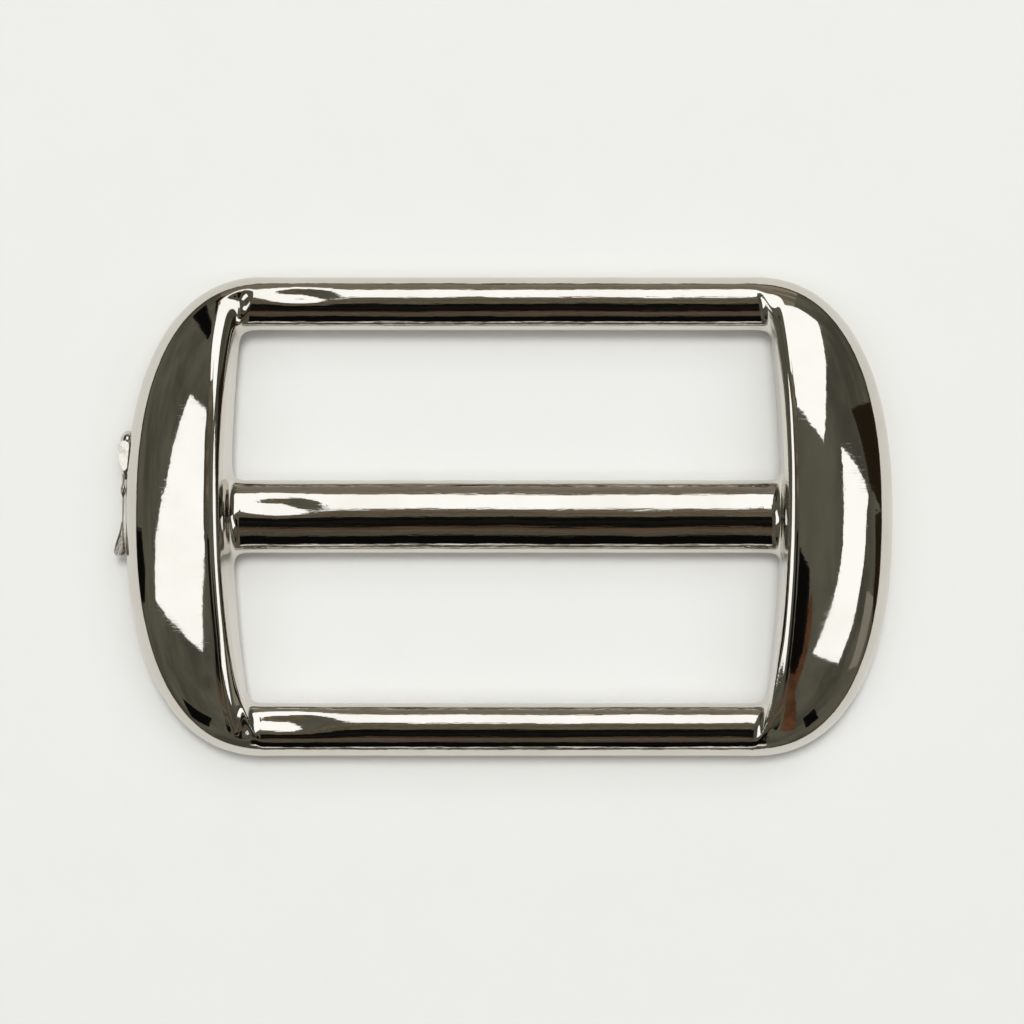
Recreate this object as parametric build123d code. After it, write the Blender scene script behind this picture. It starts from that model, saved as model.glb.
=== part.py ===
"""Strap slider (buckle slide) for 25 mm webbing: a zinc casting with bright nickel plating.

It lies flat on its back. X runs across the strap, Y along the strap, and Z up through the front.
The origin is the middle of the centre bar, on the plane where the two halves of the die met.
Two domed ends are joined by two outer rails and a wider centre bar, and the strap weaves
between them. The left end keeps the torn stub of the gate that the metal ran in through: two
drops with a thin web between them. The real thing is cast in one go. It is divided here where
its sections change, so the pieces meet face to face.
"""

from build123d import *
import math
import os

# ---- Driving dimensions, in millimetres -------------------------------------------------------
strap_width = 25.0          # the webbing that the slider is made for
strap_side_play = 0.5       # room beside the webbing at each edge, where the slots are widest
slot_gap = 7.05             # along Y, from a rail to the centre bar

rail_width = 2.5            # the two outer rails, oval in section
rail_height = 2.05
centre_bar_width = 3.4      # the strap's fixed end is sewn round this one
centre_bar_height = 2.15

end_depth = 5.0             # along X, from the slot to the outside, at the middle of an end
end_fullness = 2.36         # 2 would make the outline elliptical, and more makes it squarer
dome_height = 2.85          # the top of the dome, above the parting plane
back_depth = 1.25           # the flat back, below the parting plane
back_roll = 0.35            # how far the outside rolls in on its way down to the back

wall_radius = 68.0          # the end wall of the slots bows outwards on this radius
wall_draft = 3.0            # degrees that the wall leans back, away from the parting plane
crest_round = 0.65          # the edge between the dome and the wall
root_fillet = 0.6           # the corner where a bar grows into an end, seen from above
root_run = 0.36             # the straight stretch of a root, before it grows
root_bite = 0.5             # how far a root runs on inside its end
root_tuck = 0.12            # how far inside the outline a rail's root has come by then

gate_middle_y = 0.9         # the middle of the gate's stub, along the left end
gate_length = 6.3           # over both drops
drop_length = 2.1           # from a drop's round end to the web
drop_radius = 0.42
drop_proud = 0.66           # how far a drop stands out of the end
web_proud = 0.19            # how far the torn web stands out
web_thickness = 0.24

# ---- Worked out from them ---------------------------------------------------------------------
window_half = strap_width / 2 + strap_side_play
half_length = window_half + end_depth
half_width = centre_bar_width / 2 + slot_gap + rail_width
rail_y = half_width - rail_width / 2

LEVELS_UP = 9               # outlines stacked from the parting plane to the top
LEVELS_DOWN = 4             # and from there to the back
OUTLINE_STEPS = 40          # points round one outline
DOME_TOP = math.radians(80) # the stack stops here, inside what the slots cut away
ROLL_END = 0.95             # the back's roll stops just short of level
ROOT_TURNS = (0, 25, 45, 62, 78)  # degrees of the root's corner that have a cross-section
OVER = 1.0                  # cutters run past what they cut by this much


def wall_x(y):
    """Where the slots' end wall is at y, on the parting plane."""
    return window_half - wall_radius + math.sqrt(wall_radius**2 - y**2)


joint_x = wall_x(rail_y) - root_fillet - root_run  # the bars end and the outline turns here
reach = half_length - joint_x


def outline_share(across, size):
    """How far out the outline is, as a share, where it is `across` of `size` the other way."""
    u = min(1.0, max(0.0, across / size))
    return (1 - u**end_fullness) ** (1 / end_fullness)


def outline_y(x):
    return half_width * outline_share(x - joint_x, reach)


def outline_x(y):
    return joint_x + reach * outline_share(abs(y), half_width)


def outline_face(reach_x, reach_y, z):
    """A level superellipse round the point where the outline starts to turn."""
    points = []
    for i in range(OUTLINE_STEPS):
        turn = 2 * math.pi * i / OUTLINE_STEPS
        c, s = math.cos(turn), math.sin(turn)
        x = math.copysign(abs(c) ** (2 / end_fullness), c) * reach_x
        y = math.copysign(abs(s) ** (2 / end_fullness), s) * reach_y
        points.append((joint_x + x, y, z))
    return make_face(Spline(*points, periodic=True))


def pillow():
    """The whole pillow that an end is cut from: domed above the parting plane, rolled below."""
    levels = []
    for i in range(LEVELS_DOWN, 0, -1):
        down = i / LEVELS_DOWN
        inset = back_roll * (1 - math.sqrt(1 - (ROLL_END * down) ** 2))
        levels.append(outline_face(reach - inset, half_width - inset, -back_depth * down))
    for i in range(LEVELS_UP + 1):
        turn = DOME_TOP * i / LEVELS_UP
        share = math.cos(turn)
        levels.append(outline_face(reach * share, half_width * share, dome_height * math.sin(turn)))
    return loft(levels)


def slot_cutter():
    """Clears the slots' side of a pillow. The end wall that it leaves is bowed, with draft."""
    lean = math.tan(math.radians(wall_draft))
    rise = dome_height + OVER
    fall = back_depth + OVER
    middle = (Align.CENTER, Align.CENTER)
    up = Cone(wall_radius, wall_radius + rise * lean, rise, align=(*middle, Align.MIN))
    down = Cone(wall_radius + fall * lean, wall_radius, fall, align=(*middle, Align.MAX))
    return Pos(window_half - wall_radius, 0, 0) * (up + down)


def oval(x, y, half_w, half_h):
    """One cross-section of a bar, facing along X."""
    return Plane(origin=(x, y, 0), x_dir=(0, 1, 0), z_dir=(1, 0, 0)) * Ellipse(half_w, half_h)


def root(side, half_w, half_h):
    """A bar's root: straight from the joint, then growing into the wall.

    side is 1 or -1 for a rail, which grows on the slot's side and follows the outline on the
    other, and 0 for the centre bar, which grows on both.
    """
    y = side * rail_y
    wall = wall_x(y)
    start, end = wall - root_fillet, wall + root_bite
    growth = []
    for turn in ROOT_TURNS:
        a = math.radians(turn)
        growth.append((start + root_fillet * math.sin(a), root_fillet * (1 - math.cos(a))))
    growth.append((end, growth[-1][1]))
    sections = []
    for x, grown in growth:
        if side:
            outer = outline_y(x) - root_tuck * (x - start) / (end - start)
            inner = rail_y - half_w - grown
            sections.append(oval(x, side * (outer + inner) / 2, (outer - inner) / 2, half_h))
        else:
            sections.append(oval(x, 0, half_w + grown, half_h))
    run = loft([oval(joint_x, y, half_w, half_h), sections[0]], ruled=True)
    return run + loft(sections)


def end_casting():
    """The right end: domed outside, bowed wall inside, and the roots of the three bars."""
    shell = pillow() - slot_cutter()
    crest = [
        e for e in shell.edges() if e.center().Z > 0 and e.center().X < window_half + crest_round
    ]
    shell = fillet(crest, crest_round)
    for side in (1, -1):
        shell += root(side, rail_width / 2, rail_height / 2)
    return shell + root(0, centre_bar_width / 2, centre_bar_height / 2)


def bar(y, width, height):
    """A straight bar from end to end, oval in section."""
    return extrude(oval(-joint_x, y, width / 2, height / 2), 2 * joint_x)


def gate_drop(end):
    """A drop of the gate's stub, round at one end and drawn out towards the other drop.

    end is 1 for the drop nearer the upper rail and -1 for the other.
    """
    round_y = gate_middle_y + end * gate_length / 2
    thin_y = round_y - end * drop_length
    out = drop_proud - drop_radius
    at_round = Vector(-outline_x(round_y) - out, round_y)
    at_thin = Vector(-outline_x(thin_y) - web_proud / 2, thin_y)
    length = (at_thin - at_round).length
    neck = web_thickness / 2
    quarter = drop_radius * math.sqrt(0.5)
    nose = ThreePointArc((0, 0), (drop_radius - quarter, quarter), (drop_radius, drop_radius))
    tail = Spline((drop_radius, drop_radius), (length, neck), tangents=((1, 0), (1, 0)))
    profile = make_face(nose + tail + Polyline((length, neck), (length, 0), (0, 0)))
    solid = revolve(profile, Axis.X)
    return Plane(origin=at_round, x_dir=at_thin - at_round, z_dir=(0, 0, 1)) * solid


def gate_web():
    """The thin torn edge between the two drops, following the outline."""
    slab = extrude(outline_face(reach + web_proud, half_width, -web_thickness / 2), web_thickness)
    slab = mirror(slab, about=Plane.YZ)
    span = gate_length - 2 * drop_radius
    return slab & (Pos(-half_length, gate_middle_y, 0) * Box(2 * end_depth, span, back_depth))


def main():
    right_end = end_casting()
    left_end = mirror(right_end, about=Plane.YZ)
    drops = {name: gate_drop(end) - left_end for name, end in (("upper", 1), ("lower", -1))}
    pieces = {
        "left_end": left_end,
        "right_end": right_end,
        "upper_rail": bar(rail_y, rail_width, rail_height),
        "lower_rail": bar(-rail_y, rail_width, rail_height),
        "centre_bar": bar(0, centre_bar_width, centre_bar_height),
        "gate_drop_upper": drops["upper"],
        "gate_drop_lower": drops["lower"],
        "gate_web": gate_web() - left_end - drops["upper"] - drops["lower"],
    }
    os.makedirs("parts", exist_ok=True)
    for name, piece in pieces.items():
        print(name, len(piece.solids()), "solid", round(piece.volume, 3), "mm3")
        export_step(piece, f"parts/{name}.step")


main()
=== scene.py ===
# %% [markdown]
# # A cast strap slider in bright nickel
#
# The object is a small slider for 25 mm webbing: two domed ends, two outer rails and a broader
# centre bar, cast in zinc in one shot, tumbled smooth and plated with bright nickel. A mirror
# finish hides nothing, so most of the work here goes into curves that flow into each other
# without a kink, and into a room that is worth reflecting.
#
# The CAD part holds the sizes. This script reads it as a frame, makes a finer skin over each of
# its pieces, and plates them.

import math

import bmesh
import bpy
import numpy as np
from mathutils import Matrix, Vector


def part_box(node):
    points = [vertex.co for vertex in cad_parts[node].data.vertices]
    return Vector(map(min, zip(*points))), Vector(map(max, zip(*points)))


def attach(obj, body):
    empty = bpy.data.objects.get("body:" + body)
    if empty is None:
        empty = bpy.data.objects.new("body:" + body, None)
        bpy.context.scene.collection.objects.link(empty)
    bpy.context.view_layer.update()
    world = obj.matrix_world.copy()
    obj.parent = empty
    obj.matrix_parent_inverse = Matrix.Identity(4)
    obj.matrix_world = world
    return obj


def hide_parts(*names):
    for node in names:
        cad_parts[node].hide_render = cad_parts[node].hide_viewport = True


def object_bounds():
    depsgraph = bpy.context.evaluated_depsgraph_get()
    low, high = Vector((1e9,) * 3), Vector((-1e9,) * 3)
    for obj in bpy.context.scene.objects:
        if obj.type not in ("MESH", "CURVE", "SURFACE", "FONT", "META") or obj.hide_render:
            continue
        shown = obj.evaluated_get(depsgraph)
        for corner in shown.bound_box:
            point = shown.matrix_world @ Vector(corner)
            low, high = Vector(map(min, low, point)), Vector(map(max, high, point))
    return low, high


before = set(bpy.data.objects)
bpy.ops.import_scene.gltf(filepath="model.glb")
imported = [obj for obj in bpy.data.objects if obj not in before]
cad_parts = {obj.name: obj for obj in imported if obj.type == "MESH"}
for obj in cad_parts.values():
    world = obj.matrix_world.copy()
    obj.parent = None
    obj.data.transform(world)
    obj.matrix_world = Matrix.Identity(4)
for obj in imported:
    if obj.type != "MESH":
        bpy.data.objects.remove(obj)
cad_low, cad_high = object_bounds()
bpy.ops.object.select_all(action="DESELECT")
print("nodes:", sorted(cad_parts))
print("CAD box in mm:", [round(v * 1000, 2) for v in (*cad_low, *cad_high)])

# %% [markdown]
# ## Sizes
#
# Everything in Blender is in metres, but nobody thinks of a 2.5 mm rail as 0.0025. The shapes
# below are worked out in millimetres and scaled as they become a mesh. What the frame can tell
# is read from the frame's boxes; only the curvatures, which no box can hold, are named here.

# %% Sizes from the frame, in millimetres
MM = 0.001


def box_mm(node):
    """The lowest and the highest corner of a CAD node, in millimetres."""
    return [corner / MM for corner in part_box(node)]


end_high = box_mm("right_end")[1]
bar_high = box_mm("centre_bar")[1]
rail_low, rail_high = box_mm("upper_rail")

joint_x = bar_high.x                     # the bars end here and the outline starts to turn
reach = end_high.x - joint_x             # and this far on is the tip of an end
half_width = end_high.y
rail_y = (rail_low.y + rail_high.y) / 2
rail_half = ((rail_high.y - rail_low.y) / 2, rail_high.z)
bar_half = (bar_high.y, bar_high.z)
back_depth = 1.25                        # the flat back, below the parting plane
print("joint", round(joint_x, 3), "reach", round(reach, 3), "rail", rail_half, "bar", bar_half)

# %% Curvatures of the casting, in millimetres
end_fullness = 2.36      # 2 is an ellipse, more is squarer
dome_height = 2.785
back_roll = 0.35
roll_end = 0.95
back_edge = 0.2          # the soft edge between flank and back
window_half = 13.0
wall_radius = 68.0       # the slots' end walls bow outwards
wall_draft = (7.0, -1.5)    # degrees, left and right: the die's halves were out of line
wall_skew = (-0.02, -0.01)  # the wall's slope along Y, left and right
wall_shift = (0.0, -0.17)   # outwards, left and right: the right wall stands further in
crest_round = (0.75, 0.65)  # the edge between dome and wall, left and right
crest_grow = (0.25, 0.0)    # and how much rounder it gets towards the rails, left and right
crest_fade = (10.9, 9.9)    # along Y, where the crest dies into a rail
root_fillet = 1.0        # the stretch over which a bar grows into an end
rail_point = 2.0         # 2 is an oval section, less is more of a lens
bar_point = 1.78

# %% [markdown]
# ## One master surface for the whole casting
#
# A caster's pattern is one smooth body. If the ends and the bars were modelled apart and merely
# pushed together, every highlight would break at the joint. So the body is written as one
# distance rule: how far is a point outside the metal? Simple bodies have simple rules, a union
# takes the smaller distance and an intersection the larger, and rounding the corner of that
# choice gives the fillets that the molten metal needs.

# %% Rules for rounding corners
def round_union(a, b, reach_of):
    """Two bodies joined, with a hollow fillet that starts that far from the corner."""
    near = np.maximum(reach_of - np.abs(a - b), 0) / reach_of
    return np.minimum(a, b) - near**3 * reach_of / 6


def round_overlap(a, b, radius):
    """What two bodies share, with its edge rounded to that radius."""
    edge = np.hypot(np.maximum(radius + a, 0), np.maximum(radius + b, 0))
    return np.minimum(-radius, np.maximum(a, b)) + edge


def smooth_step(t):
    """From 0 to 1 with no corner at either end."""
    t = np.clip(t, 0, 1)
    return t * t * t * (t * (6 * t - 15) + 10)


# %% Rules for the simple bodies
def pillow(x, y, z):
    """The outer form: a superellipse seen from above, domed upwards, rolled in below."""
    u = np.maximum(np.abs(x) - joint_x, 0) / reach
    v = np.abs(y) / half_width
    e = end_fullness
    q = np.maximum((u**e + v**e) ** (1 / e), 1e-9)
    qx = (u / q) ** (e - 1) / reach
    qy = (v / q) ** (e - 1) / half_width
    rise = np.maximum(z, 0) / dome_height
    s = np.sqrt(q * q + rise * rise)
    slope = np.sqrt((q / s) ** 2 * (qx * qx + qy * qy) + (rise / s / dome_height) ** 2 + 1e-12)
    down = np.clip(-z / back_depth, 0, 1) * roll_end
    return (s - 1) / slope + back_roll * (1 - np.sqrt(1 - down * down))


def wall(x, y, z):
    """Everything outside the slots' bowed and drafted end walls."""
    lean = np.radians(np.where(x < 0, wall_draft[0], wall_draft[1]))
    skew = np.where(x < 0, wall_skew[0], wall_skew[1]) * y
    skew = skew - np.where(x < 0, wall_shift[0], wall_shift[1])
    out = np.hypot(np.abs(x) - window_half + wall_radius + skew, y)
    return (wall_radius + np.abs(z) * np.tan(lean) - out) * np.cos(lean)


def lens(y, z, half_y, half_z, point):
    """A long bar whose section is an oval, or pointed a little towards a lens."""
    a = np.abs(y) / half_y
    b = np.abs(z) / half_z
    q = np.maximum((a**point + b**point) ** (1 / point), 1e-9)
    slope = np.hypot((a / q) ** (point - 1) / half_y, (b / q) ** (point - 1) / half_z)
    return (q - 1) / slope


# %% [markdown]
# ## Hand-finished metal is never quite true
#
# The highlights on the real bars wander by a hair and break up near the left roots, because the
# bars twist by a few degrees and sink in as they shrink in the die. Slow waves and three shallow
# dents do that here. They are plain formulas, so the result is the same on each run.

# %% The casting's slow waves
def wander(x, *waves):
    """Slow sines along x, each given as (size, length in mm, phase in turns)."""
    return sum(size * np.sin(2 * math.pi * (x / length + phase)) for size, length, phase in waves)


def dent(x, y, at_x, at_y, long, wide, depth):
    """The depth of a soft sink mark, as seen at x and y."""
    return depth * np.exp(-(((x - at_x) / long) ** 2) - ((y - at_y) / wide) ** 2)


def twisted(x, y, z, middle_y, *waves):
    """y and z as seen by a bar that twists about its own axis by these degrees."""
    turn = np.radians(wander(x, *waves))
    c, s = np.cos(turn), np.sin(turn)
    return (y - middle_y) * c + z * s, z * c - (y - middle_y) * s


# %% The master surface
sinks = [                # x, y, length, width and depth of the sink marks near the left roots
    (-9.75, 10.32, 1.3, 0.28, 0.13),
    (-10.7, 0.52, 1.5, 0.36, 0.115),
    (-10.4, -9.62, 1.9, 0.42, 0.16),
]


twist_none, twist_full = 12.6, 10.6   # |x| where the twist starts and where it is whole
steady = 400.0           # mm, a wave so long that it is nearly a constant twist
bar_shapes = [           # each bar's y, half sizes, point and waves (degrees, mm, phase in turns)
    (rail_y, rail_half, rail_point, [(1.3, 13.0, 0.1), (0.7, 5.1, 0.6)]),
    (0, bar_half, bar_point, [(1.2, 15.0, 0.4), (0.6, 4.3, 0.2)]),
    (-rail_y, rail_half, rail_point, [(1.4, 17.0, 0.7), (0.7, 6.2, 0.3), (3.0, steady, 0.25)]),
]


def bars(x, y, z):
    """The distance to the nearest of the three bars."""
    fade = smooth_step((twist_none - np.abs(x)) / (twist_none - twist_full))
    gaps = []
    for middle_y, half, point, waves in bar_shapes:
        faded = [(size * fade, length, phase) for size, length, phase in waves]
        gaps.append(lens(*twisted(x, y, z, middle_y, *faded), *half, point))
    front = smooth_step(z / 0.5)          # the sink marks are on the front only
    return np.minimum.reduce(gaps) + front * sum(dent(x, y, *sink) for sink in sinks)


sharp = 0.05             # the crest's radius where it dies into the rails


def casting(x, y, z):
    """How far a point is outside the metal, in millimetres. Negative is inside."""
    inner = round_union(wall(x, y, z), bars(x, y, z), root_fillet)
    near_end = smooth_step((np.abs(x) - joint_x - 0.3) / 1.2)
    along = smooth_step((crest_fade[0] - np.abs(y)) / (crest_fade[0] - crest_fade[1]))
    towards_rails = smooth_step((np.abs(y) - 4.5) / 4.5)
    full = np.where(x < 0, crest_round[0], crest_round[1])
    full = full + np.where(x < 0, crest_grow[0], crest_grow[1]) * towards_rails
    crest = sharp + (full - sharp) * near_end * along
    body = round_overlap(pillow(x, y, z), inner, crest)
    return round_overlap(body, -z - back_depth, back_edge)


STEP = 1e-4   # mm, for slopes


def slope_of(p, rule):
    """The rule's gradient at each point: it points straight out of the metal."""
    parts = []
    for axis in range(3):
        d = np.zeros(3)
        d[axis] = STEP
        parts.append((rule(*(p + d).T) - rule(*(p - d).T)) / (2 * STEP))
    return np.stack(parts, axis=1)


# %% [markdown]
# ## Settling a rough block onto the master surface
#
# A rough block is modelled by hand from primitives, and a voxel remesh gives it an even skin of
# small quads. Each vertex then slides along the slope until the rule says zero, like a mould
# being pressed home. The same slope gives every vertex its exact normal. Averaged face normals
# are good enough for paint, but on a mirror they show as tiny ripples.

# %% Helpers that settle a mesh
def points_mm(obj):
    """An object's vertices in millimetres."""
    co = np.empty(len(obj.data.vertices) * 3)
    obj.data.vertices.foreach_get("co", co)
    return co.reshape(-1, 3) / MM


def put_points(obj, p):
    """Writes millimetres back to an object's vertices."""
    obj.data.vertices.foreach_set("co", (p * MM).ravel())
    obj.data.update()


def slide(p, g, rule, furthest=0.1):
    """One step down the slope g towards the surface, no longer than furthest in mm."""
    steep = np.maximum((g * g).sum(axis=1), 0.05)
    step = g * (rule(*p.T) / steep)[:, None]
    length = np.linalg.norm(step, axis=1)
    return p - step * np.minimum(1, furthest / np.maximum(length, 1e-9))[:, None]


def settle(obj, rule, turns=14, relax=0):
    """Slides each vertex onto the surface where rule is zero, and prints how well it lies."""
    p = points_mm(obj)
    edges = np.empty(len(obj.data.edges) * 2, int)
    obj.data.edges.foreach_get("vertices", edges)
    pairs = np.sort(edges.reshape(-1, 2), axis=1)
    a, b = pairs[np.lexsort((pairs[:, 1], pairs[:, 0]))].T   # sums in one order on each run
    links = np.bincount(a, minlength=len(p)) + np.bincount(b, minlength=len(p))
    for turn in range(relax + turns):
        if turn < relax:
            total = np.zeros_like(p)
            np.add.at(total, a, p[b])
            np.add.at(total, b, p[a])
            p = p + 0.5 * (total / links[:, None] - p)
        p = slide(p, slope_of(p, rule), rule)
    put_points(obj, p)
    worst = float(np.abs(rule(*p.T)).max())
    print(obj.name, len(p), "points, furthest from the surface", worst, "mm")


def true_normals(obj, rule):
    """Gives each vertex the surface's own normal. The flat caps at the joints keep theirs."""
    n = slope_of(points_mm(obj), rule)
    n /= np.linalg.norm(n, axis=1, keepdims=True)
    mesh = obj.data
    mesh.shade_smooth()
    corner = np.empty(len(mesh.loops), int)
    mesh.loops.foreach_get("vertex_index", corner)
    normals = n[corner]
    for face in mesh.polygons:
        if abs(face.normal.x) > 0.999 and abs(abs(face.center.x) - joint_x * MM) < 1e-7:
            normals[face.loop_start:face.loop_start + face.loop_total] = face.normal
    mesh.normals_split_custom_set(normals.tolist())


# %% [markdown]
# ## The two ends
#
# The right end starts as a UV sphere squashed to the size of the dome, with its corners pushed out
# to the squarer outline. A bisect halves it at the parting plane, its flat face is extruded down to
# the back, and a second bisect opens the slots' side. The closer this rough block is to the master
# surface, the less its skin can fold as it settles, so the script prints how far down it goes.
# Three squashed cylinders are pushed in for the roots of the bars. Booleans would leave
# slivers along the fillets, so the lot is joined and given one even skin by a voxel remesh. The
# left end is its mirror image, settled again because the slow waves differ from side to side.

# %% Hand tools used again and again
def only(obj):
    """Selects one object and makes it the active one."""
    bpy.ops.object.select_all(action="DESELECT")
    obj.select_set(True)
    bpy.context.view_layer.objects.active = obj
    return obj


def added(name):
    """Names the primitive that was just added and puts its size and place into its mesh."""
    obj = bpy.context.object
    obj.name = obj.data.name = name
    bpy.ops.object.transform_apply(location=True, rotation=True, scale=True)
    return obj


def cut(obj, at, facing, fill):
    """Bisects the whole mesh, clears the side that facing points away from and closes the cut."""
    only(obj)
    bpy.ops.object.mode_set(mode="EDIT")
    bpy.ops.mesh.select_all(action="SELECT")
    place = Vector(at) * MM
    bpy.ops.mesh.bisect(plane_co=place, plane_no=facing, clear_inner=True, threshold=1e-8)
    if fill:
        bpy.ops.mesh.select_all(action="SELECT")
        bpy.ops.mesh.fill_holes(sides=0)
        bpy.ops.mesh.select_all(action="SELECT")
        bpy.ops.mesh.normals_make_consistent(inside=False)
    bpy.ops.object.mode_set(mode="OBJECT")


def oval_rod(name, from_x, to_x, y, half, sides):
    """A squashed cylinder along X, as a rough bar."""
    bpy.ops.mesh.primitive_cylinder_add(
        vertices=sides, radius=MM, depth=(to_x - from_x) * MM,
        location=Vector(((from_x + to_x) / 2, y, 0)) * MM,
        rotation=(0, math.pi / 2, 0), scale=(half[1], half[0], 1),
    )
    return added(name)


def join(objects, name):
    """Joins objects into the first one."""
    only(objects[0])
    for obj in objects[1:]:
        obj.select_set(True)
    bpy.ops.object.join()
    bpy.context.object.name = name
    return bpy.context.object


# %% Rough out the right end
skin = 0.075        # mm, the remesh's quads
spare = 0.8         # mm of bar left on until the skin has settled
wall_rough = window_half - 0.3   # where the block is opened, between the wall's middle and ends

bpy.ops.mesh.primitive_uv_sphere_add(
    segments=96, ring_count=64, radius=1, location=(joint_x * MM, 0, 0),
    scale=(reach * MM, half_width * MM, dome_height * MM),
)
block = added("right_block")
p = points_mm(block) - (joint_x, 0, 0)
round_at = np.maximum(np.hypot(p[:, 0] / reach, p[:, 1] / half_width), 1e-9)
for axis, size in ((0, reach), (1, half_width)):   # from an ellipse to the squarer outline
    share = p[:, axis] / size / round_at
    p[:, axis] = round_at * size * np.sign(share) * np.abs(share) ** (2 / end_fullness)
put_points(block, p + (joint_x, 0, 0))
cut(block, (0, 0, 0), (0, 0, 1), True)
bpy.ops.object.mode_set(mode="EDIT")
bpy.ops.mesh.select_mode(type="FACE")
bpy.ops.mesh.select_all(action="DESELECT")
mesh = bmesh.from_edit_mesh(block.data)
for face in mesh.faces:
    if face.normal.z < -0.99:
        face.select_set(True)
bmesh.update_edit_mesh(block.data)
bpy.ops.mesh.extrude_region_move(TRANSFORM_OT_translate={"value": (0, 0, -back_depth * MM)})
bpy.ops.mesh.select_mode(type="VERT")
bpy.ops.object.mode_set(mode="OBJECT")
cut(block, (wall_rough, 0, 0), (1, 0, 0), True)
bar_start = joint_x - 2 * spare
roots = [
    oval_rod("root_up", bar_start, window_half, rail_y, rail_half, 48),
    oval_rod("root_mid", bar_start, window_half + 1, 0, bar_half, 48),
    oval_rod("root_low", bar_start, window_half, -rail_y, rail_half, 48),
]
block = join([block, *roots], "right_block")
lowest = points_mm(block)[:, 2].min().round(2)
print("rough block:", len(block.data.polygons), "faces, down to", lowest, "mm")

# %% Give it one even skin, settle it and cut it at the joint
block.data.remesh_voxel_size = skin * MM
block.data.remesh_voxel_adaptivity = 0
only(block)
bpy.ops.object.voxel_remesh()
cut(block, (joint_x - spare, 0, 0), (1, 0, 0), False)


def settle_rim(obj, side):
    """Puts the rim of the cut exactly on the joint's plane and on the surface."""
    p = points_mm(obj)
    rim = np.abs(p[:, 0] - side * joint_x) < 1e-3
    q = p[rim]
    for turn in range(4):
        g = slope_of(q, casting)
        g[:, 0] = 0
        q = slide(q, g, casting)
    q[:, 0] = side * joint_x
    p[rim] = q
    put_points(obj, p)


def finish_end(obj, side):
    """Settles an end's skin, cuts it at the joint and closes the cuts."""
    settle(obj, casting, relax=20)
    cut(obj, (side * joint_x, 0, 0), (side, 0, 0), True)
    settle_rim(obj, side)
    true_normals(obj, casting)
    faces = sum(len(f.vertices) - 2 for f in obj.data.polygons)
    print(obj.name, "triangles", faces)


right = only(block)
bpy.ops.object.duplicate()
left = bpy.context.object
bpy.ops.transform.mirror(constraint_axis=(True, False, False), orient_type="GLOBAL")
bpy.ops.object.transform_apply(location=True, rotation=True, scale=True)
bpy.ops.object.mode_set(mode="EDIT")
bpy.ops.mesh.select_all(action="SELECT")
bpy.ops.mesh.normals_make_consistent(inside=False)
bpy.ops.object.mode_set(mode="OBJECT")
right.name = right.data.name = "right_end_skin"
left.name = left.data.name = "left_end_skin"
left_x = points_mm(left)[:, 0]
print("left copy spans x", left_x.min().round(2), left_x.max().round(2))
finish_end(right, 1)
finish_end(left, -1)

# %% [markdown]
# ## The bars
#
# A bar is a cylinder whose long edges are subdivided into rings, so it can twist and sway. It
# is settled on the same master surface as the ends, which is why the joints don't show.

# %% Model the three bars
def bar(name, y, half):
    """One bar from joint to joint, cut into rings and settled."""
    rod = oval_rod(name, -joint_x, joint_x, y, half, 128)
    bpy.ops.object.mode_set(mode="EDIT")
    for cuts in (15, 15):           # 16 x 16 rings
        mesh = bmesh.from_edit_mesh(rod.data)
        for edge in mesh.edges:
            a, b = (corner.co for corner in edge.verts)
            edge.select = abs(a.x - b.x) > abs(a.y - b.y) + abs(a.z - b.z)
        bmesh.update_edit_mesh(rod.data)
        bpy.ops.mesh.subdivide(number_cuts=cuts)
    bpy.ops.object.mode_set(mode="OBJECT")
    settle(rod, casting)
    settle_rim(rod, 1)
    settle_rim(rod, -1)
    true_normals(rod, casting)
    return rod


upper_rail = bar("upper_rail_skin", rail_y, rail_half)
lower_rail = bar("lower_rail_skin", -rail_y, rail_half)
centre_bar = bar("centre_bar_skin", 0, bar_half)


# %% [markdown]
# ## The torn gate
#
# Zinc runs into the die through a gate, a slit at the side of one end. When the casting is
# broken off its tree, a stub stays behind: two drops where the slit was deep, and a torn thread
# with a bead on it between them. A drop is half a sphere whose open rim is extruded and shrunk
# step by step into a tail, just as a glass blower would draw it out. Each drop broke off along a
# flat face, so a tilted bisect takes its top away.

# %% Sizes of the gate, in millimetres, from its CAD boxes
upper_low, upper_high = box_mm("gate_drop_upper")
lower_low, lower_high = box_mm("gate_drop_lower")
web_low, web_high = box_mm("gate_web")
print("upper drop", [round(v, 2) for v in (*upper_low, *upper_high)])
print("lower drop", [round(v, 2) for v in (*lower_low, *lower_high)])
print("web", [round(v, 2) for v in (*web_low, *web_high)])


def rim_step(move, factor):
    """Extrudes the selected rim, moves the new rim and resizes it about its own middle."""
    bpy.ops.mesh.extrude_region_move(TRANSFORM_OT_translate={"value": Vector(move) * MM})
    bpy.ops.transform.resize(value=(factor, factor, factor))


def draw_out(name, at, radius, way, steps):
    """A drop: half a sphere at a point, drawn out along Y by (dx, dy, factor) steps."""
    bpy.ops.mesh.primitive_uv_sphere_add(
        segments=24, ring_count=16, radius=radius * MM,
        location=Vector(at) * MM, rotation=(math.pi / 2, 0, 0),
    )
    drop = added(name)
    cut(drop, at, (0, -way, 0), False)
    bpy.ops.object.mode_set(mode="EDIT")
    bpy.ops.mesh.select_mode(type="EDGE")
    bpy.ops.mesh.select_all(action="DESELECT")
    bpy.ops.mesh.select_non_manifold()
    for dx, dy, factor in steps:
        rim_step((dx, way * dy, 0), factor)
    bpy.ops.mesh.edge_face_add()
    bpy.ops.mesh.select_all(action="SELECT")
    bpy.ops.mesh.normals_make_consistent(inside=False)
    bpy.ops.mesh.select_mode(type="VERT")
    bpy.ops.object.mode_set(mode="OBJECT")
    return drop


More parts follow.
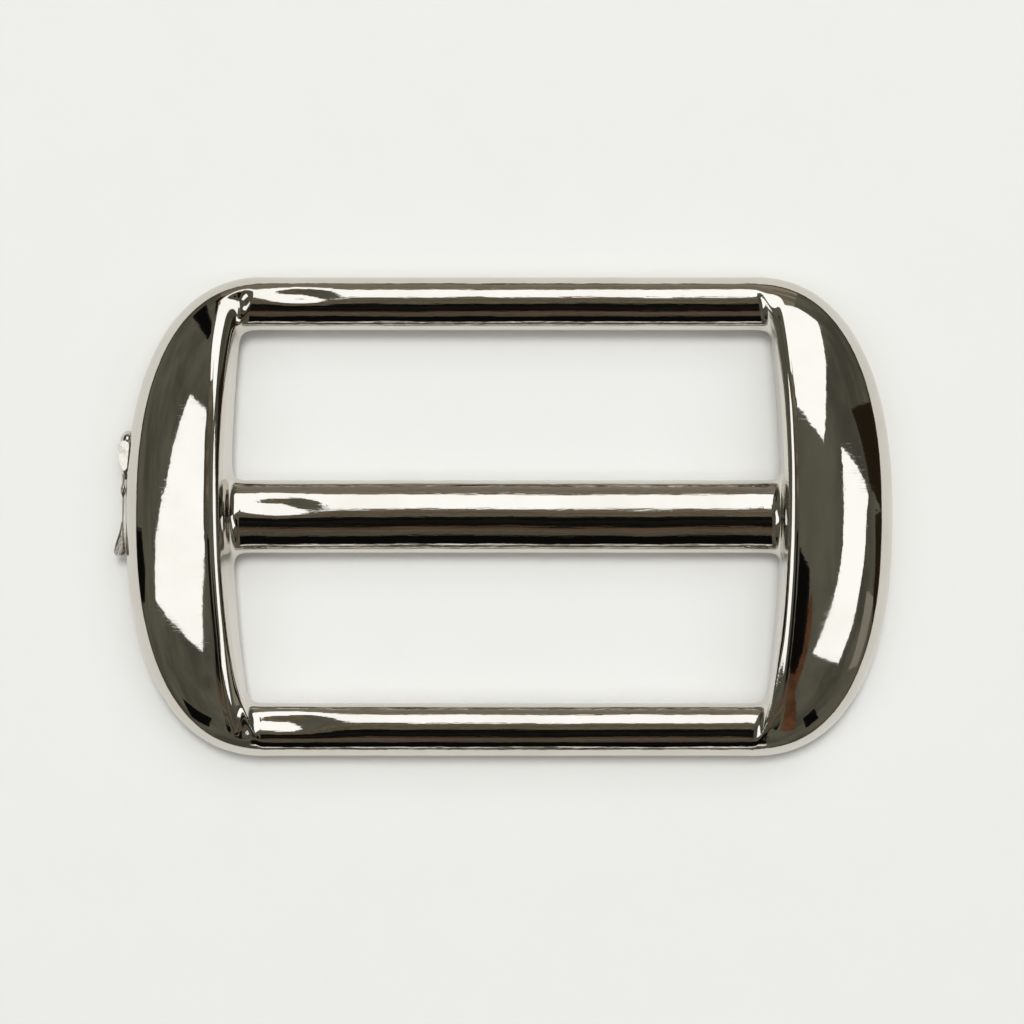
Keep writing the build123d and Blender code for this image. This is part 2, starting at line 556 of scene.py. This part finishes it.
def roughen(obj, test, size, grain=0.06):
    """Pushes the picked vertices in and out by up to size, in a jagged pattern, in millimetres."""
    p = points_mm(obj)
    n = np.empty(p.size)
    obj.data.vertices.foreach_get("normal", n)
    x, y, z = (p / grain).T
    jag = np.sin(1.9 * x + 3.1 * y) + np.sin(4.3 * y - 2.3 * z + 1) + np.sin(6.1 * y + 1.7 * x + 2)
    picked = np.array([test(Vector(q)) for q in p])
    put_points(obj, p + n.reshape(-1, 3) * (picked * jag * size / 3)[:, None])


def soften(obj, levels, angle):
    """One or two rounds of subdivision, applied, and smooth shading up to an angle."""
    only(obj)
    mod = obj.modifiers.new("soft", "SUBSURF")
    mod.levels = mod.render_levels = levels
    bpy.ops.object.modifier_apply(modifier=mod.name)
    bpy.ops.object.shade_smooth_by_angle(angle=math.radians(angle))
    print(obj.name, len(obj.data.polygons), "faces")


# %% Draw out the lower drop, a full tear
clear = 0.02                        # mm between a drop and the side of its CAD box
tear_radius = 0.28
tear_x = lower_low.x + tear_radius + clear
tear_y = lower_low.y + 0.62
torn_x = lower_high.x - 0.2         # inboard of this the drop is jagged
tear = draw_out(
    "gate_tear", (tear_x, tear_y, 0.06), tear_radius, 1,
    [(0.01, 0.2, 0.91), (0.02, 0.2, 0.84), (0.02, 0.2, 0.79), (0.02, 0.2, 0.76),
     (0.02, 0.2, 0.69), (0.01, 0.2, 0.67), (0.01, 0.2, 0.6)],
)
soften(tear, 2, 60)
roughen(tear, lambda p: p.x > torn_x and p.z > 0.02 and p.y > tear_y - 0.3, 0.05)
cut(tear, (tear_x, tear_y + 0.55, 0.18), (0.32, -0.12, -1), True)
only(tear)
bpy.ops.object.shade_smooth_by_angle(angle=math.radians(12))

# %% Draw out the upper drop, break its face flat and leave a lower collar behind it
stub_radius = 0.36
collar_length = 0.45                # along Y, how much of the collar shows past the drop
collar_half = (0.36, 0.5, 0.6)
stub_y = upper_high.y - collar_length - stub_radius
stub = draw_out(
    "gate_stub", (upper_low.x + stub_radius + 2 * clear, stub_y, 0.0), stub_radius, -1,
    [(0.0, 0.2, 1.0), (0.0, 0.2, 0.97), (0.0, 0.2, 0.9), (0.0, 0.2, 0.82),
     (0.0, 0.22, 0.7), (0.0, 0.24, 0.52), (0.0, 0.28, 0.42)],
)
soften(stub, 2, 60)
broken_at = (upper_low.x + stub_radius, stub_y, 0.17)
roughen(stub, lambda p: p.x > upper_high.x - 0.2 and p.z > -0.05, 0.06)
cut(stub, broken_at, (0.36, 0.02, -0.93), True)
bpy.ops.mesh.primitive_uv_sphere_add(
    segments=32, ring_count=20, radius=MM, scale=collar_half,
    location=Vector((upper_low.x + 0.46, upper_high.y - collar_half[1], -0.45)) * MM,
)
stub = join([stub, added("collar")], "gate_stub")
only(stub)
bpy.ops.object.shade_smooth_by_angle(angle=math.radians(16))

# %% Pull the torn thread between them, with its bead
thread_x = web_low.x + 0.1
thread_top = upper_low.y + 0.1
bpy.ops.mesh.primitive_circle_add(
    vertices=12, radius=0.095 * MM, fill_type="NGON",
    location=Vector((thread_x, thread_top, 0.05)) * MM, rotation=(math.pi / 2, 0, 0),
)
thread = added("gate_thread")
bpy.ops.object.mode_set(mode="EDIT")
for dx, dy, factor in (
    (-0.01, 0.2, 0.9), (-0.01, 0.2, 0.75), (-0.01, 0.15, 0.8), (0.0, 0.07, 1.9), (0.0, 0.12, 1.35),
    (0.0, 0.15, 1.0), (0.0, 0.12, 0.7), (0.0, 0.08, 0.5), (0.0, 0.2, 0.8), (-0.01, 0.16, 1.25),
    (0.01, 0.18, 0.75), (-0.01, 0.2, 1.3), (0.0, 0.2, 0.8), (-0.01, 0.2, 1.1), (0.0, 0.22, 1.1),
    (0.0, 0.22, 1.2), (0.0, 0.2, 1.2),
):
    rim_step((dx, -dy, 0), factor)
bpy.ops.mesh.select_all(action="SELECT")
bpy.ops.mesh.normals_make_consistent(inside=False)
bpy.ops.object.mode_set(mode="OBJECT")
soften(thread, 1, 60)

# %% [markdown]
# ## Every skin takes its node's place
#
# A skin rides on the one body and hides its CAD node, whose place it takes. The slot name
# listed with it picks its finish below.

# %% Attach the pieces
skins = [
    (left, "left_end", "nickel_plate"),
    (right, "right_end", "nickel_plate"),
    (upper_rail, "upper_rail", "nickel_plate"),
    (lower_rail, "lower_rail", "nickel_plate"),
    (centre_bar, "centre_bar", "nickel_plate"),
    (stub, "gate_drop_upper", "torn_gate"),
    (tear, "gate_drop_lower", "torn_gate"),
    (thread, "gate_web", "torn_gate"),
]
for piece, node, slot in skins:
    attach(piece, "root")
    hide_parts(node)
print("pieces:", [piece.name for piece, node, slot in skins])

# %% [markdown]
# ## Materials from nodes
#
# Two small helpers keep the node code short. All patterns read Object coordinates, scaled to
# millimetres first, so a size in the code is a size on the metal.

# %% Helpers for nodes
def put(tree, kind, options=None, **inputs):
    """Adds a node, sets its options, and sets or links its inputs by name."""
    node = tree.nodes.new("ShaderNode" + kind)
    for key, value in (options or {}).items():
        setattr(node, key, value)
    for key, value in inputs.items():
        socket = node.inputs[key.replace("_", " ")]
        if isinstance(value, bpy.types.NodeSocket):
            tree.links.new(value, socket)
        else:
            socket.default_value = value
    return node


def maths(tree, operation, *values):
    """A Math node. Its values are numbers or sockets."""
    node = put(tree, "Math", {"operation": operation})
    for socket, value in zip(node.inputs, values):
        if isinstance(value, bpy.types.NodeSocket):
            tree.links.new(value, socket)
        else:
            socket.default_value = value
    return node.outputs[0]


def between(tree, value, low, high):
    """0 below low, 1 above high, and smooth in between."""
    options = {"interpolation_type": "SMOOTHSTEP"}
    node = put(tree, "MapRange", options, Value=value, From_Min=low, From_Max=high)
    return node.outputs["Result"]


def millimetres(tree, stretch=(1, 1, 1)):
    """The Object coordinate in millimetres."""
    place = put(tree, "TexCoord").outputs["Object"]
    scale = [1000 * s for s in stretch]
    return put(tree, "Mapping", None, Vector=place, Scale=scale).outputs["Vector"]


def noise(tree, vector, per_mm, detail=2.0, roughness=0.5):
    """Fractal noise with that many bumps per millimetre."""
    node = put(tree, "TexNoise", None, Vector=vector, Scale=per_mm, Detail=detail)
    node.inputs["Roughness"].default_value = roughness
    return node.outputs["Fac"]


def group(name, ins, outs):
    """A new node group with float inputs and outputs. Returns its tree, its inputs and output."""
    tree = bpy.data.node_groups.new(name, "ShaderNodeTree")
    for socket, value in ins.items():
        made = tree.interface.new_socket(socket, in_out="INPUT", socket_type="NodeSocketFloat")
        made.default_value = value
    for socket in outs:
        tree.interface.new_socket(socket, in_out="OUTPUT", socket_type="NodeSocketFloat")
    inside = tree.nodes.new("NodeGroupInput")
    outside = tree.nodes.new("NodeGroupOutput")
    return tree, inside.outputs, outside.inputs


def use(tree, name, **inputs):
    """Places a group in a material with its own values."""
    return put(tree, "Group", {"node_tree": bpy.data.node_groups[name]}, **inputs).outputs


# %% [markdown]
# ## What plating does to a surface
#
# Nickel is plated in a bath and copies what is under it. Tumbling leaves slow ripples and a fine
# orange peel, and long streaks run along the bars. Where the belt trimmed the flash off the
# parting line there is a narrow band of torn sparkle. Each is a group that puts out a height in
# micrometres, to be added up.

# %% Group: ripples and orange peel
tree, given, result = group("tumbled_skin", {"Ripple": 1.0, "Peel": 1.0}, ["Height"])
where = millimetres(tree)
ripple = maths(tree, "MULTIPLY", noise(tree, where, 0.55, 1.0), given["Ripple"])
peel = maths(tree, "MULTIPLY", noise(tree, where, 3.2, 2.0), given["Peel"])
tree.links.new(maths(tree, "ADD", ripple, peel), result["Height"])

# %% Group: long streaks, drawn out along X
tree, given, result = group("long_streaks", {"Depth": 1.0, "Across": 5.0}, ["Height"])
drawn = millimetres(tree, (0.06, 1, 1))
streak = noise(tree, drawn, given["Across"], 3.0, 0.6)
tree.links.new(maths(tree, "MULTIPLY", streak, given["Depth"]), result["Height"])

# %% Group: sparkle of torn and belt-trimmed metal
tree, given, result = group("torn_sparkle", {"Depth": 1.0, "Grain": 9.0}, ["Height", "Mask"])
where = millimetres(tree)
cells = put(tree, "TexVoronoi", None, Vector=where, Scale=given["Grain"], Randomness=1.0)
fine = noise(tree, where, 24.0, 3.0, 0.6)
both = maths(tree, "ADD", cells.outputs["Distance"], fine)
tree.links.new(maths(tree, "MULTIPLY", both, given["Depth"]), result["Height"])
tree.links.new(between(tree, noise(tree, where, 2.1, 2.0), 0.46, 0.6), result["Mask"])

# %% Group: hairlines and pits from handling
tree, given, result = group("handling", {"Scratches": 1.0, "Pits": 1.0}, ["Height", "Mask"])
lines = None
for turn, thin in ((0.5, 0.02), (1.9, 0.015), (2.7, 0.02)):
    place = put(tree, "TexCoord").outputs["Object"]
    laid = put(tree, "Mapping", None, Vector=place, Rotation=(0, 0, turn), Scale=(120, 5200, 1500))
    spread = noise(tree, laid.outputs["Vector"], 1.0, 1.0)
    off = maths(tree, "ABSOLUTE", maths(tree, "SUBTRACT", spread, 0.5))
    line = maths(tree, "SUBTRACT", 1.0, between(tree, off, 0.0, thin))
    patch = between(tree, noise(tree, millimetres(tree), 0.8 + turn / 4, 1.0), 0.56, 0.68)
    line = maths(tree, "MULTIPLY", line, patch)
    lines = line if lines is None else maths(tree, "MAXIMUM", lines, line)
cells = put(tree, "TexVoronoi", None, Vector=millimetres(tree), Scale=1.3, Randomness=1.0)
pit = maths(tree, "SUBTRACT", 1.0, between(tree, cells.outputs["Distance"], 0.02, 0.06))
lines = maths(tree, "MULTIPLY", lines, given["Scratches"])
pit = maths(tree, "MULTIPLY", pit, given["Pits"])
total = maths(tree, "ADD", lines, pit)
tree.links.new(maths(tree, "MULTIPLY", total, -1.0), result["Height"])
tree.links.new(maths(tree, "MAXIMUM", lines, pit), result["Mask"])
print("groups:", [g.name for g in bpy.data.node_groups])

# %% [markdown]
# ## Bright nickel
#
# Nickel is a little darker and warmer than chrome: it gives back about two thirds of the light.
# The mirror is broken only near the roots of the bars, where the tumbling stones don't reach,
# and along the trimmed parting line.

# %% Nickel plate
def material(name):
    made = bpy.data.materials.new(name)
    made.use_nodes = True
    made.node_tree.nodes.clear()
    return made, made.node_tree


def metal(tree, colour, roughness, height):
    """The metal's shader with a bump whose height is in micrometres."""
    bump = put(tree, "Bump", None, Strength=1.0, Distance=1e-6, Height=height)
    shader = put(
        tree, "BsdfPrincipled", None, Metallic=1.0, Base_Color=colour, Roughness=roughness,
        Normal=bump.outputs["Normal"],
    )
    out = put(tree, "OutputMaterial")
    tree.links.new(shader.outputs["BSDF"], out.inputs["Surface"])
    return shader


def tinted(tree, mask, plain, tint):
    """A colour that goes from plain to tint with the mask."""
    node = put(tree, "Mix", {"data_type": "RGBA"})
    tree.links.new(mask, node.inputs[0])
    for socket, value in ((node.inputs[6], plain), (node.inputs[7], tint)):   # the colours A and B
        socket.default_value = (*value, 1)
    return node.outputs[2]


nickel, tree = material("bright_nickel")
axes = put(tree, "SeparateXYZ", None, Vector=millimetres(tree)).outputs
from_middle = maths(tree, "ABSOLUTE", axes["X"])
root_zone = maths(
    tree, "MULTIPLY", between(tree, from_middle, 10.6, 11.8),
    maths(tree, "SUBTRACT", 1.0, between(tree, from_middle, 12.1, 12.7)),
)
line_zone = maths(
    tree, "SUBTRACT", 1.0, between(tree, maths(tree, "ABSOLUTE", axes["Z"]), 0.02, 0.11),
)
skin_of = use(tree, "tumbled_skin", Ripple=7.0, Peel=1.1)
torn = use(tree, "torn_sparkle", Depth=3.0, Grain=8.0)
marks = use(tree, "handling", Scratches=0.16, Pits=0.5)
torn_roots = maths(tree, "MULTIPLY", root_zone, maths(tree, "MULTIPLY", torn["Mask"], 0.35))
rough_zone = maths(tree, "MAXIMUM", torn_roots, maths(tree, "MULTIPLY", line_zone, 0.9))
height = maths(tree, "ADD", skin_of["Height"], maths(tree, "MULTIPLY", torn["Height"], rough_zone))
height = maths(tree, "ADD", height, marks["Height"])
on_bars = maths(tree, "SUBTRACT", 1.0, between(tree, from_middle, 10.8, 12.0))
streaks = use(tree, "long_streaks", Depth=6.5, Across=5.0)
height = maths(tree, "ADD", height, maths(tree, "MULTIPLY", streaks["Height"], on_bars))
smudge = between(tree, noise(tree, millimetres(tree), 0.35, 3.0), 0.35, 0.75)
roughness = maths(tree, "ADD", 0.03, maths(tree, "MULTIPLY", smudge, 0.03))
roughness = maths(tree, "ADD", roughness, maths(tree, "MULTIPLY", rough_zone, 0.06))
roughness = maths(tree, "ADD", roughness, maths(tree, "MULTIPLY", marks["Mask"], 0.05))
colour = tinted(tree, smudge, (0.69, 0.66, 0.61), (0.655, 0.62, 0.56))
metal(tree, colour, roughness, height)
print("bright_nickel:", len(tree.nodes), "nodes")

# %% Torn gate: the same plate over rough broken metal
torn_metal, tree = material("torn_nickel")
skin_of = use(tree, "tumbled_skin", Ripple=2.0, Peel=1.5)
torn = use(tree, "torn_sparkle", Depth=4.0, Grain=14.0)
height = maths(tree, "ADD", skin_of["Height"], maths(tree, "MULTIPLY", torn["Height"], 0.4))
roughness = maths(tree, "ADD", 0.05, maths(tree, "MULTIPLY", torn["Mask"], 0.08))
colour = tinted(tree, torn["Mask"], (0.66, 0.62, 0.56), (0.58, 0.54, 0.48))
metal(tree, colour, roughness, height)

for piece, node, slot in skins:
    piece.data.materials.clear()
    piece.data.materials.append(nickel if slot == "nickel_plate" else torn_metal)

# %% [markdown]
# ## A room worth reflecting
#
# A mirror shows nothing but its surroundings, so the studio is modelled too: a pale table, four
# softboxes, a few dark flags between them and a brown rim at the horizon. The cards are placed by
# the compass direction and the height, in degrees, at which the metal sees them. They are hidden
# from the camera, which sees a plain pale backdrop instead.

# %% The table
floor_z = cad_low.z
bpy.ops.mesh.primitive_plane_add(size=3.0, location=(0, 0, floor_z))
table = added("table")
paper, tree = material("pale_table")
mottle = noise(tree, millimetres(tree), 0.35, 3.0)
colour = tinted(tree, mottle, (0.80, 0.80, 0.775), (0.815, 0.815, 0.79))
shader = put(tree, "BsdfPrincipled", None, Base_Color=colour, Roughness=0.7)
shader.inputs["Specular IOR Level"].default_value = 0.0
out = put(tree, "OutputMaterial")
tree.links.new(shader.outputs["BSDF"], out.inputs["Surface"])
table.data.materials.append(paper)
print("table at", round(floor_z / MM, 2), "mm")

# %% Cards that the metal reflects
ROOM = 0.9    # metres from the object to the cards


def toward(compass, height, distance=ROOM):
    """A point that far away in a direction given in degrees."""
    a, e = math.radians(compass), math.radians(height)
    return Vector((math.cos(e) * math.cos(a), math.cos(e) * math.sin(a), math.sin(e))) * distance


def uneven(tree, glow, low, stretch):
    """A glow that is uneven like a real wall: darkened in patches down to the share low."""
    place = put(tree, "TexCoord").outputs["Object"]
    place = put(tree, "Mapping", None, Vector=place, Scale=stretch).outputs["Vector"]
    patches = between(tree, noise(tree, place, 1.0, 4.0, 0.6), 0.35, 0.65)
    return tinted(tree, patches, [low * v for v in glow], glow)


def glowing(obj, name, glow, low=1.0, stretch=(1, 1, 1)):
    """Makes a stage object glow, hidden from the camera and casting no shadow."""
    lamp, tree = material(name + "_glow")
    shine = put(tree, "Emission", None, Color=(*glow, 1), Strength=1.0)
    if low < 1:
        tree.links.new(uneven(tree, glow, low, stretch), shine.inputs["Color"])
    out = put(tree, "OutputMaterial")
    tree.links.new(shine.outputs[0], out.inputs["Surface"])
    obj.data.materials.append(lamp)
    obj.visible_camera = obj.visible_shadow = False


def card(name, glow, corners, distance=ROOM, low=1.0, stretch=(1, 16, 16)):
    """A glowing card with corners given as (compass, height), unseen by the camera.

    Where low is under 1 the glow is uneven, and a larger stretch makes its patches smaller.
    """
    bpy.ops.mesh.primitive_circle_add(vertices=len(corners), radius=1, fill_type="NGON")
    obj = added(name)
    for vert, at in zip(obj.data.vertices, corners):
        vert.co = toward(*at, distance)
    glowing(obj, name, glow, low, stretch)
    print("card", name, "with", len(corners), "corners")


white = (1.42, 1.45, 1.48)
black = (0.004, 0.004, 0.004)
brown = (0.07, 0.045, 0.025)
dim_board = (0.02, 0.014, 0.008)

# %% Softboxes
card("softbox_left", white,
     [(152, 49), (150, 62), (217, 53), (202, 43), (192, 26), (182, 31), (176, 40)])
card("softbox_right_far", white,
     [(17, 56), (49, 27), (62, 28.5), (92, 37), (85, 55), (60, 66), (38, 64)])
card("softbox_right_near", white,
     [(12, 46), (2, 24), (359, 27), (330, 35), (321, 54), (340, 51), (356, 46)])
card("softbox_head", white, [(74, 69), (106, 69), (106, 31), (74, 31)])

# %% Dark flags and boards between them
near = 0.8
card("flag_left", black, [(181, 12), (186, 16), (191, 9), (191, 0), (181, 0)], near)
card("flag_left_near", black, [(218, 18), (236, 30), (236, 16), (226, 8)], near)
card("flag_left_far", black, [(125, 43), (131, 43), (134, 10), (125, 10)], near)
card("flag_left_top", black, [(112, 34), (120, 36), (120, 16), (114, 12)], near)
card("flag_right", black, [(302, 32), (310, 32), (310, 18), (302, 18)], near)
card("flag_right_top", black,
     [(352, 69), (346, 63), (322, 59.5), (303, 54), (298, 62), (320, 70)], near)
card("board_right", dim_board, [(18, 34), (16, 2), (0, 2), (3, 22)], near)
card("board_right_low", dim_board, [(0, 14), (0, 2), (345, 2), (350, 10)], near)
card("board_near", (0.26, 0.24, 0.2), [(350, 22), (350, 9), (335, 9), (332, 21)], near)
card("shelf", (0.15, 0.07, 0.036),
     [(340, 61), (321, 57), (302, 50), (296, 24), (288, 30), (305, 62)], near, 0.5, (9, 9, 2))

# %% Wall and ceiling at the head side
card("wall_head", (0.31, 0.27, 0.21), [(64, 30.5), (116, 30.5), (116, 3), (64, 3)], low=0.45)
card("ceiling_head", (0.21, 0.175, 0.125), [(5, 80), (61, 65), (119, 65), (175, 80)], low=0.3)

# %% What the camera's side shows: the camera itself, a shelf, gloom and a bright sill
card("hood", (0.012, 0.012, 0.01), [(187, 82), (353, 82), (290, 60), (250, 60)], low=0.3)
card("sill_warm", (0.13, 0.085, 0.055), [(250, 61), (290, 61), (286, 51), (254, 51)], low=0.4)
card("sill_olive", (0.15, 0.14, 0.1), [(254, 51.5), (286, 51.5), (282, 40), (258, 40)], low=0.3)
card("gloom_near", black, [(258, 40.5), (282, 40.5), (280, 14), (260, 14)])
card("sill_bright", (1.0, 0.95, 0.9), [(260, 13), (280, 13), (280, 9.5), (260, 9.5)])

# %% The brown rim at the horizon
bpy.ops.mesh.primitive_cylinder_add(
    vertices=96, radius=1.2, depth=0.06, end_fill_type="NOTHING", location=(0, 0, floor_z + 0.03),
)
rim = added("rim")
glowing(rim, "rim", brown)
print("rim:", len(rim.data.polygons), "faces")

# %% Backdrop for the camera, olive gloom for the metal
world = bpy.data.worlds.new("studio")
bpy.context.scene.world = world
world.use_nodes = True
tree = world.node_tree
tree.nodes.clear()
pale = put(tree, "Background", None, Color=(0.86, 0.86, 0.825, 1), Strength=1.0)
cloudy = uneven(tree, (0.128, 0.123, 0.097), 0.55, (1.9, 1.9, 3))
gloom = put(tree, "Background", None, Color=cloudy, Strength=1.0)
path = put(tree, "LightPath")
pick = put(tree, "MixShader", None, Fac=path.outputs["Is Camera Ray"])
tree.links.new(gloom.outputs[0], pick.inputs[1])
tree.links.new(pale.outputs[0], pick.inputs[2])
out = put(tree, "OutputWorld")
tree.links.new(pick.outputs[0], out.inputs["Surface"])
print("world:", len(tree.nodes), "nodes")

# %% The soft key that lights the table, kept out of the reflections
def soft_light(name, compass, height, size, watts):
    bpy.ops.object.light_add(type="AREA", location=toward(compass, height, 1.0))
    lamp = bpy.context.object
    lamp.name = name
    lamp.data.shape = "DISK"
    lamp.data.size = size
    lamp.data.energy = watts
    lamp.rotation_euler = (-toward(compass, height)).to_track_quat("-Z", "Y").to_euler()
    lamp.visible_camera = lamp.visible_glossy = False
    print("light", name, "at", compass, height)


soft_light("key", 92, 74, 0.3, 4.8)
soft_light("fill", 0, 90, 1.1, 3.75)

# %% [markdown]
# ## The camera
#
# A long lens straight above the slider, as for a catalogue. View transform Standard keeps the
# pale table pale.

# %% Camera
lens_mm = 100
sensor = 36
frame_width = 0.0481                # metres across the picture
aim = (0.00014, 0.00021)            # metres, what the camera is centred on
camera_data = bpy.data.cameras.new("camera")
camera_data.lens = lens_mm
camera_data.sensor_width = sensor
camera_data.clip_start = 0.001
camera = bpy.data.objects.new("camera", camera_data)
bpy.context.scene.collection.objects.link(camera)
camera.location = (*aim, frame_width * lens_mm / sensor)
bpy.context.scene.camera = camera
bpy.context.scene.view_settings.view_transform = "Standard"
print("camera height", round(camera.location.z / MM, 1), "mm")
